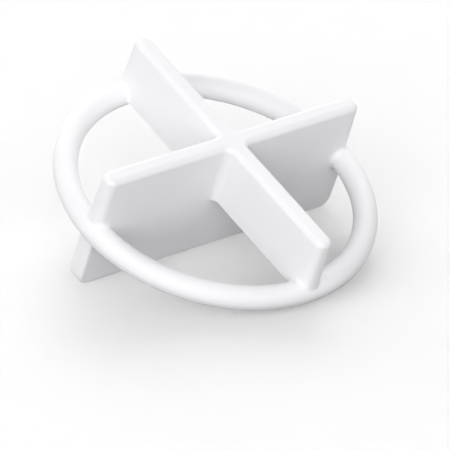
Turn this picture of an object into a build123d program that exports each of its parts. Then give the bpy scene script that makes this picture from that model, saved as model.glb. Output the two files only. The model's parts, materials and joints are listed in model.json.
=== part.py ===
"""Ringed tile spacer, moulded in one piece of plastic.

A round ring carries two blades that cross at its centre. Above the ring they make a cross,
for the joint where four tiles meet. Below it only one blade goes on down, for a straight
joint. The ring stays on top of the tiles and is the handle.

The moulding is modelled with its ring level and its parting plane at height 0, then laid down
as it comes to rest on a floor: on the lower edge of the deep blade and on the ring's rim.
"""
import os
from math import acos, atan2, cos, degrees, hypot, radians, sin, tan

from build123d import *

# Joint: millimetres and degrees, as every size here
joint_width = 2.0
cross_height = 7.2
blade_depth = 7.2
side_draft = 0.5

# Ring, a round cord
ring_radius = 16.0
cord_diameter = 2.6

# Blade ends: how far they stay inside the ring's rim at the parting plane, and their draft
deep_end_inset = 0.6
cross_end_inset = 0.3
upper_end_draft = 2.0
lower_end_draft = 0.5

# Rounded edges and corners. The upper ends keep end_flat_width of their width flat.
rim_round = 0.6
end_flat_width = 0.2
lower_edge_round = 0.35
foot_corner_round = 1.3
cross_corner_fillet = 0.8
ring_fillet = 0.4

# Worked out from the sizes above
cord_radius = cord_diameter / 2
upper_end_round = (joint_width - end_flat_width) / 2
root_width = joint_width + 2 * cross_height * tan(radians(side_draft))
foot_width = root_width - 2 * blade_depth * tan(radians(side_draft))
deep_blade_length = 2 * (ring_radius + cord_radius - deep_end_inset)
cross_blade_length = 2 * (ring_radius + cord_radius - cross_end_inset)


def tip_length(root_length, reach, draft):
    """Length of a blade at its tip, drawn in at both ends by the draft."""
    return root_length - 2 * reach * tan(radians(draft))


def runs_upright(edge):
    """Whether an edge runs from the parting plane to a tip."""
    direction = edge.tangent_at(0.5)
    return abs(direction.Z) > hypot(direction.X, direction.Y)


def from_axis(edge):
    """Distance of an edge's middle from the ring's axis."""
    return hypot(edge.center().X, edge.center().Y)


# Cross above the parting plane: two tapered bars of one height
with BuildPart() as cross:
    for turn, root_length in ((0, deep_blade_length), (90, cross_blade_length)):
        with BuildSketch(Plane.XY):
            Rectangle(root_length, root_width, rotation=turn)
        with BuildSketch(Plane.XY.offset(cross_height)):
            Rectangle(tip_length(root_length, cross_height, upper_end_draft), joint_width, rotation=turn)
        loft(ruled=True)
    upright_edges = cross.edges().filter_by(runs_upright).sort_by(from_axis)
    inner_corners = upright_edges[:4]
    end_corners = upright_edges[4:]
    fillet(inner_corners, cross_corner_fillet)
    fillet(end_corners, upper_end_round)
    top_face = cross.faces().sort_by(Axis.Z)[-1]
    fillet(top_face.edges(), rim_round)

# Deep blade below it, its foot corners rounded first and then the outline of both sides
with BuildPart() as deep_blade:
    with BuildSketch(Plane.XY):
        Rectangle(deep_blade_length, root_width)
    with BuildSketch(Plane.XY.offset(-blade_depth)):
        Rectangle(tip_length(deep_blade_length, blade_depth, lower_end_draft), foot_width)
    loft(ruled=True)
    foot_face = deep_blade.faces().sort_by(Axis.Z)[0]
    fillet(foot_face.edges().filter_by(Axis.Y), foot_corner_round)
    root_face = deep_blade.faces().sort_by(Axis.Z)[-1]
    side_faces = deep_blade.faces().sort_by(SortBy.AREA)[-2:]
    fillet(side_faces.edges() - root_face.edges(), lower_edge_round)

# Both on the ring, with a small fillet wherever a blade leaves the cord. The cord's section is
# drawn midway between two blades, and the fillets run inward from the blades' ends.
with BuildPart() as moulding:
    add(cross.part)
    add(deep_blade.part)
    with BuildSketch(Plane.XZ.rotated((0, 0, 45))):
        with Locations((ring_radius, 0)):
            Circle(cord_radius)
    revolve(axis=Axis.Z)
    ring_face = moulding.faces().sort_by(SortBy.AREA)[-1]
    blade_joins = ring_face.edges().filter_by(lambda edge: not edge.is_closed)
    fillet(blade_joins.sort_by(from_axis, reverse=True), ring_fillet)

# Lean at rest: the rounded lower edge and the cord stand on one floor. The edge's rounding has
# its centre edge_down below the parting plane and edge_out from the axis.
draft_angle = radians(side_draft)
edge_down = blade_depth - lower_edge_round
edge_out = foot_width / 2 + lower_edge_round * (tan(draft_angle) - 1 / cos(draft_angle))
edge_to_rim = hypot(ring_radius - edge_out, edge_down)
level_angle = acos((cord_radius - lower_edge_round) / edge_to_rim)
lean = level_angle - atan2(ring_radius - edge_out, edge_down)
ring_rest_height = ring_radius * sin(lean) + cord_radius

# Laid down on the floor, with the origin under the middle of what it covers
laid_down = moulding.part.moved(Location((0, 0, ring_rest_height), (degrees(lean), 0, 0)))
middle = laid_down.bounding_box().center()
with BuildPart() as tile_spacer:
    with Locations((-middle.X, -middle.Y, 0)):
        add(laid_down)

os.makedirs("parts", exist_ok=True)
tile_spacer.part.label = "tile_spacer"
export_step(tile_spacer.part, "parts/tile_spacer.step")

print(f"lean {degrees(lean):.3f} degrees, ring centre {ring_rest_height:.4f} up and {-middle.Y:.4f} back")
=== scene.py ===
"""Ringed tile spacer in white moulded plastic, lying on a white sheet in soft studio light.

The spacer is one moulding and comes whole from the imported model, so its shape and size stay as
they are there. This script gives it the finish of its plastic, and adds the sheet that it lies
on, the lamps and the camera. Lengths are metres and angles degrees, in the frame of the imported
model, unless a name says otherwise.
"""
import json
import logging
from dataclasses import dataclass, field
from enum import Enum
from math import cos, radians, sin

import bpy
from mathutils import Matrix, Vector

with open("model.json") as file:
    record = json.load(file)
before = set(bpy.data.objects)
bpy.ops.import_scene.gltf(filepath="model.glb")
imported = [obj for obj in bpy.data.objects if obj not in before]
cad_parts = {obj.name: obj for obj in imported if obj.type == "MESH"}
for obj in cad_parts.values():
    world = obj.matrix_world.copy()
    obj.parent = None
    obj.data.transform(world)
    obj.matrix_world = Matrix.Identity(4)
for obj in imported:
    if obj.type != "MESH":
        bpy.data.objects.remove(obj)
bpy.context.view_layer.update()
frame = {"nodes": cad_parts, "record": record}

log = logging.getLogger("tile_spacer")

MM = 0.001

# The sRGB curve: a straight line up to the knee, and a power above it
SRGB_KNEE = 0.04045
SRGB_SLOPE = 12.92
SRGB_OFFSET = 0.055
SRGB_POWER = 2.4

# The Mix node's sockets for colours, whose names its other sockets have too
MIX_COLOUR_A = 6
MIX_COLOUR_B = 7
MIX_COLOUR_RESULT = 2

WHITE = (1.0, 1.0, 1.0, 1.0)
ALL_COLOURS_ALIKE = (1.0, 1.0, 1.0)


class MouldingEnd(Enum):
    """The record's mounts at the two ends of the moulding."""

    CROSS_TOP = "cross_top"
    BLADE_FOOT = "blade_foot"


def linear(code: str) -> tuple[float, float, float, float]:
    """Turns an sRGB hex colour into Blender's linear one.

    Args:
        code: six hex digits after a hash sign.

    Returns:
        Linear red, green and blue, and an alpha of 1.
    """
    shares = [int(code[i:i + 2], 16) / 255 for i in (1, 3, 5)]
    return (*(share / SRGB_SLOPE if share <= SRGB_KNEE
              else ((share + SRGB_OFFSET) / (1 + SRGB_OFFSET)) ** SRGB_POWER
              for share in shares), 1.0)


def add_node(tree: bpy.types.NodeTree, kind: str, settings: dict | None = None,
             inputs: dict | None = None) -> bpy.types.Node:
    """Adds a node with its settings and what goes into its sockets.

    Args:
        tree: the tree that the node joins.
        kind: Blender's name for the node.
        settings: the node's own properties by name.
        inputs: for each socket, by name or number, a constant or the output linked to it.

    Returns:
        The new node.
    """
    node = tree.nodes.new(kind)
    for name, value in (settings or {}).items():
        setattr(node, name, value)
    for socket, value in (inputs or {}).items():
        if isinstance(value, bpy.types.NodeSocket):
            tree.links.new(value, node.inputs[socket])
        else:
            node.inputs[socket].default_value = value
    return node


def empty_material(name: str) -> tuple[bpy.types.Material, bpy.types.NodeTree]:
    """Makes a material with no nodes in it.

    Args:
        name: the material's name.

    Returns:
        The material and its node tree.
    """
    material = bpy.data.materials.new(name)
    material.use_nodes = True
    material.node_tree.nodes.clear()
    return material, material.node_tree


def seen_by_camera(tree: bpy.types.NodeTree) -> bpy.types.NodeSocket:
    """Adds a switch that is 1 for what the camera sees, straight or in a reflection.

    Args:
        tree: the tree that the switch joins.

    Returns:
        The switch's output.
    """
    rays = add_node(tree, "ShaderNodeLightPath").outputs
    mirrored = add_node(tree, "ShaderNodeMath", {"operation": "MAXIMUM"},
                        {0: rays["Is Glossy Ray"], 1: rays["Is Transmission Ray"]})
    either = add_node(tree, "ShaderNodeMath", {"operation": "MAXIMUM"},
                      {0: rays["Is Camera Ray"], 1: mirrored.outputs[0]})
    return either.outputs[0]


def view_direction(turn: float, height: float) -> Vector:
    """Gives the direction from the spacer to what looks at it.

    Args:
        turn: degrees round it, 0 in front and 90 at the right.
        height: degrees above the floor.

    Returns:
        The unit direction.
    """
    round_it, up = radians(turn), radians(height)
    return Vector((sin(round_it) * cos(up), -cos(round_it) * cos(up), sin(up)))


@dataclass(frozen=True)
class MouldFrame:
    """Where the mould's two halves met: a plane at right angles to the ring's axis."""

    centre: Vector
    axis: Vector

    @classmethod
    def from_record(cls, record: dict) -> "MouldFrame":
        """Finds it from the flat faces at the two ends of the moulding.

        Args:
            record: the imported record.

        Returns:
            The frame midway between the cross's top and the deep blade's foot.
        """
        mounts = {mount["name"]: mount for mount in record["mounts"]}
        top = Vector(mounts[MouldingEnd.CROSS_TOP.value]["pos_m"])
        foot = Vector(mounts[MouldingEnd.BLADE_FOOT.value]["pos_m"])
        return cls((top + foot) / 2, (top - foot).normalized())


@dataclass(frozen=True)
class MouldedPolypropylene:
    """White polypropylene, injection moulded in a fine spark-eroded mould.

    To the eye it is a soft, even white: the skin is matt, light sinks a little way in and comes
    out again at the edges, and only a close look shows the grain of the mould and the slow waves
    that the melt leaves as it cools.
    """

    name: str = "moulded_polypropylene"
    body: str = "#EFEFF1"
    paler: str = "#F3F3F5"
    ior: float = 1.49
    roughness_low: float = 0.62
    roughness_high: float = 0.72
    glow_depth: float = 0.6 * MM
    glow_share: float = 0.12
    # The mould's grain is about 0.05 mm across, less than half a pixel, so it is drawn coarser
    grain_size: float = 0.16 * MM
    grain_height: float = 0.0015 * MM
    grain_detail: float = 2.0
    # Nearly all of the grain's noise lies between these, and they get the two roughnesses
    grain_low: float = 0.3
    grain_high: float = 0.7
    wave_size: float = 5.0 * MM
    wave_height: float = 0.012 * MM
    wave_detail: float = 1.0
    tone_size: float = 7.0 * MM
    tone_detail: float = 2.0
    seam_half_width: float = 0.07 * MM
    seam_height: float = 0.006 * MM

    def build(self, mould: MouldFrame) -> bpy.types.Material:
        """Makes the material.

        Args:
            mould: where the two halves of the mould met, for the line that they leave.

        Returns:
            The material.
        """
        material, tree = empty_material(self.name)
        place = add_node(tree, "ShaderNodeTexCoord").outputs["Object"]
        tone, grain, waves = (
            add_node(tree, "ShaderNodeTexNoise", {},
                     {"Vector": place, "Scale": 1 / size, "Detail": detail}).outputs["Fac"]
            for size, detail in ((self.tone_size, self.tone_detail),
                                 (self.grain_size, self.grain_detail),
                                 (self.wave_size, self.wave_detail)))
        colour = add_node(tree, "ShaderNodeMix", {"data_type": "RGBA"}, {
            "Factor": tone, MIX_COLOUR_A: linear(self.body), MIX_COLOUR_B: linear(self.paler)})
        roughness = add_node(tree, "ShaderNodeMapRange", {}, {
            "Value": grain, "From Min": self.grain_low, "From Max": self.grain_high,
            "To Min": self.roughness_low, "To Max": self.roughness_high})
        relief = {}
        for pattern, height in ((waves, self.wave_height),
                                (self.seam_line(tree, place, mould), self.seam_height),
                                (grain, self.grain_height)):
            bump = add_node(tree, "ShaderNodeBump", {},
                            {"Height": pattern, "Distance": height, **relief})
            relief = {"Normal": bump.outputs["Normal"]}
        skin = add_node(tree, "ShaderNodeBsdfPrincipled", {"subsurface_method": "RANDOM_WALK"}, {
            "Base Color": colour.outputs[MIX_COLOUR_RESULT],
            "Roughness": roughness.outputs["Result"],
            "IOR": self.ior,
            "Subsurface Weight": self.glow_share,
            "Subsurface Radius": ALL_COLOURS_ALIKE,
            "Subsurface Scale": self.glow_depth,
            **relief,
        })
        add_node(tree, "ShaderNodeOutputMaterial", {}, {"Surface": skin.outputs[0]})
        return material

    def seam_line(self, tree: bpy.types.NodeTree, place: bpy.types.NodeSocket,
                  mould: MouldFrame) -> bpy.types.NodeSocket:
        """Adds the hair-thin line where the two halves of the mould met.

        Args:
            tree: the material's tree.
            place: the socket that gives a point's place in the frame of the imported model.
            mould: where the two halves met.

        Returns:
            A socket that is 1 on the line and 0 off it.
        """
        along = add_node(tree, "ShaderNodeVectorMath", {"operation": "DOT_PRODUCT"},
                         {0: place, 1: mould.axis})
        off_plane = add_node(tree, "ShaderNodeMath", {"operation": "SUBTRACT"},
                             {0: along.outputs["Value"], 1: mould.centre.dot(mould.axis)})
        distance = add_node(tree, "ShaderNodeMath", {"operation": "ABSOLUTE"},
                            {0: off_plane.outputs[0]})
        line = add_node(tree, "ShaderNodeMapRange", {"interpolation_type": "SMOOTHSTEP"}, {
            "Value": distance.outputs[0], "From Max": self.seam_half_width,
            "To Min": 1.0, "To Max": 0.0})
        return line.outputs["Result"]


@dataclass(frozen=True)
class WhiteSheet:
    """White sheet of milky acrylic that the spacer lies on.

    Light sinks some way into it and spreads, so that shadows on it have no hard edge, not even
    where the spacer touches it, and away from them it is the white of the page. It throws back
    less light than it seems to, which keeps the spacer's hollows dark.
    """

    name: str = "milky_acrylic"
    surface: str = "#FAFAFA"
    bounce: str = "#A6A6A6"
    spread: float = 12.0 * MM

    def build(self) -> bpy.types.Material:
        """Makes the sheet's material.

        Returns:
            The material.
        """
        material, tree = empty_material(self.name)
        milky = add_node(tree, "ShaderNodeSubsurfaceScattering", {"falloff": "BURLEY"}, {
            "Color": linear(self.surface), "Scale": self.spread, "Radius": ALL_COLOURS_ALIKE})
        matt = add_node(tree, "ShaderNodeBsdfDiffuse", {}, {"Color": linear(self.bounce)})
        seen = add_node(tree, "ShaderNodeMixShader", {}, {
            0: seen_by_camera(tree), 1: matt.outputs[0], 2: milky.outputs[0]})
        add_node(tree, "ShaderNodeOutputMaterial", {}, {"Surface": seen.outputs[0]})
        return material


@dataclass
class TileSpacer:
    """The spacer itself: one moulding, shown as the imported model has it."""

    node: str = "tile_spacer"
    finish: MouldedPolypropylene = field(default_factory=MouldedPolypropylene)

    def dress(self, mould: MouldFrame) -> bpy.types.Object:
        """Gives the moulding its plastic.

        Args:
            mould: where the two halves of the mould met.

        Returns:
            The moulding's object.
        """
        moulding = frame["nodes"][self.node]
        plastic = self.finish.build(mould)
        for slot in moulding.material_slots:
            slot.material = plastic
        return moulding


@dataclass
class SoftLamp:
    """A round soft lamp that looks at the spacer from one side."""

    name: str
    turn: float
    height: float
    watts: float
    distance: float = 1.5
    size: float = 1.8

    def hang(self, aim: Vector) -> bpy.types.Object:
        """Hangs the lamp.

        Args:
            aim: the point that it looks at.

        Returns:
            The lamp's object.
        """
        light = bpy.data.lights.new(self.name, "AREA")
        light.shape = "DISK"
        light.size = self.size
        light.energy = self.watts
        lamp = bpy.data.objects.new(self.name, light)
        towards = view_direction(self.turn, self.height)
        lamp.matrix_world = Matrix.LocRotScale(aim + towards * self.distance,
                                               towards.to_track_quat("Z", "Y"), None)
        bpy.context.scene.collection.objects.link(lamp)
        return lamp


@dataclass
class Studio:
    """The white sheet, the world around it and the lamps over it.

    The world lights the spacer faintly, but is the white of the page where the camera sees it.
    The lamps stand all round it, most of them low, so that every side has its own tone and none
    burns out.
    """

    sheet_size: float = 6.0
    ambient: float = 0.046
    page_white: float = 1.0
    sheet: WhiteSheet = field(default_factory=WhiteSheet)
    lamps: list[SoftLamp] = field(default_factory=lambda: [
        SoftLamp("front_left", turn=-45.0, height=20.0, watts=18.8),
        SoftLamp("back", turn=180.0, height=20.0, watts=12.1),
        SoftLamp("back_right", turn=135.0, height=20.0, watts=10.1),
        SoftLamp("left", turn=-90.0, height=20.0, watts=10.0),
        SoftLamp("front_right", turn=45.0, height=20.0, watts=5.0),
        SoftLamp("front", turn=0.0, height=50.0, watts=6.1),
        SoftLamp("back_right_high", turn=135.0, height=40.0, watts=7.3, size=0.9),
    ])

    def build(self, aim: Vector) -> None:
        """Lays the sheet, lights the world and hangs the lamps.

        Args:
            aim: the point that the lamps look at.
        """
        self.lay_sheet()
        self.light_world()
        for lamp in self.lamps:
            lamp.hang(aim)

    def lay_sheet(self) -> None:
        """Lays the sheet on the floor."""
        half = self.sheet_size / 2
        corners = [(-half, -half, 0), (half, -half, 0), (half, half, 0), (-half, half, 0)]
        mesh = bpy.data.meshes.new("sheet")
        mesh.from_pydata(corners, [], [range(len(corners))])
        mesh.materials.append(self.sheet.build())
        sheet = bpy.data.objects.new("sheet", mesh)
        bpy.context.scene.collection.objects.link(sheet)

    def light_world(self) -> None:
        """Makes the world a faint light, and white where the camera sees it."""
        world = bpy.data.worlds.new("studio")
        world.use_nodes = True
        tree = world.node_tree
        tree.nodes.clear()
        ambient, page = (
            add_node(tree, "ShaderNodeBackground", {}, {"Color": WHITE, "Strength": strength})
            for strength in (self.ambient, self.page_white))
        seen = add_node(tree, "ShaderNodeMixShader", {}, {
            0: seen_by_camera(tree), 1: ambient.outputs[0], 2: page.outputs[0]})
        add_node(tree, "ShaderNodeOutputWorld", {}, {"Surface": seen.outputs[0]})
        bpy.context.scene.world = world


@dataclass
class ProductCamera:
    """Long lens that looks down on the spacer from its left front corner.

    Its place comes from the photograph's edges: the angle, the distance and the lens are those
    that put every blade and the ring where they are there.
    """

    turn: float = -39.090
    height: float = 25.553
    roll: float = 1.355
    distance: float = 566.78 * MM
    off_right: float = 0.927 * MM
    off_up: float = -3.705 * MM
    focal_px: float = 5471.4
    picture_px: float = 450.0
    sensor_mm: float = 36.0
    nearest: float = 50.0 * MM
    farthest: float = 12.0

    def build(self, aim: Vector) -> bpy.types.Object:
        """Sets the camera up.

        Args:
            aim: the centre of the ring.

        Returns:
            The camera's object.
        """
        back = view_direction(self.turn, self.height)
        level = Vector((cos(radians(self.turn)), sin(radians(self.turn)), 0))
        upright = back.cross(level)
        lean = radians(self.roll)
        right = cos(lean) * level + sin(lean) * upright
        up = cos(lean) * upright - sin(lean) * level
        camera = bpy.data.cameras.new("product_camera")
        camera.sensor_fit = "HORIZONTAL"
        camera.sensor_width = self.sensor_mm
        camera.lens = self.sensor_mm * self.focal_px / self.picture_px
        camera.clip_start = self.nearest
        camera.clip_end = self.farthest
        stand = bpy.data.objects.new("product_camera", camera)
        stand.matrix_world = Matrix((right, up, back)).transposed().to_4x4()
        stand.matrix_world.translation = (aim + right * self.off_right + up * self.off_up
                                          + back * self.distance)
        bpy.context.scene.collection.objects.link(stand)
        bpy.context.scene.camera = stand
        return stand


def main() -> None:
    """Builds the scene in order and reports each piece."""
    logging.basicConfig(level=logging.INFO, format="%(name)s: %(message)s")
    bpy.context.scene.view_settings.view_transform = "Standard"
    mould = MouldFrame.from_record(frame["record"])
    log.info("halves of the mould met at %s, across %s", mould.centre, mould.axis)
    moulding = TileSpacer().dress(mould)
    log.info("%s dressed in %s", moulding.name, moulding.material_slots[0].material.name)
    Studio().build(mould.centre)
    log.info("studio built")
    camera = ProductCamera().build(mould.centre)
    log.info("camera at %s", camera.matrix_world.translation)


if __name__ == "__main__":
    main()
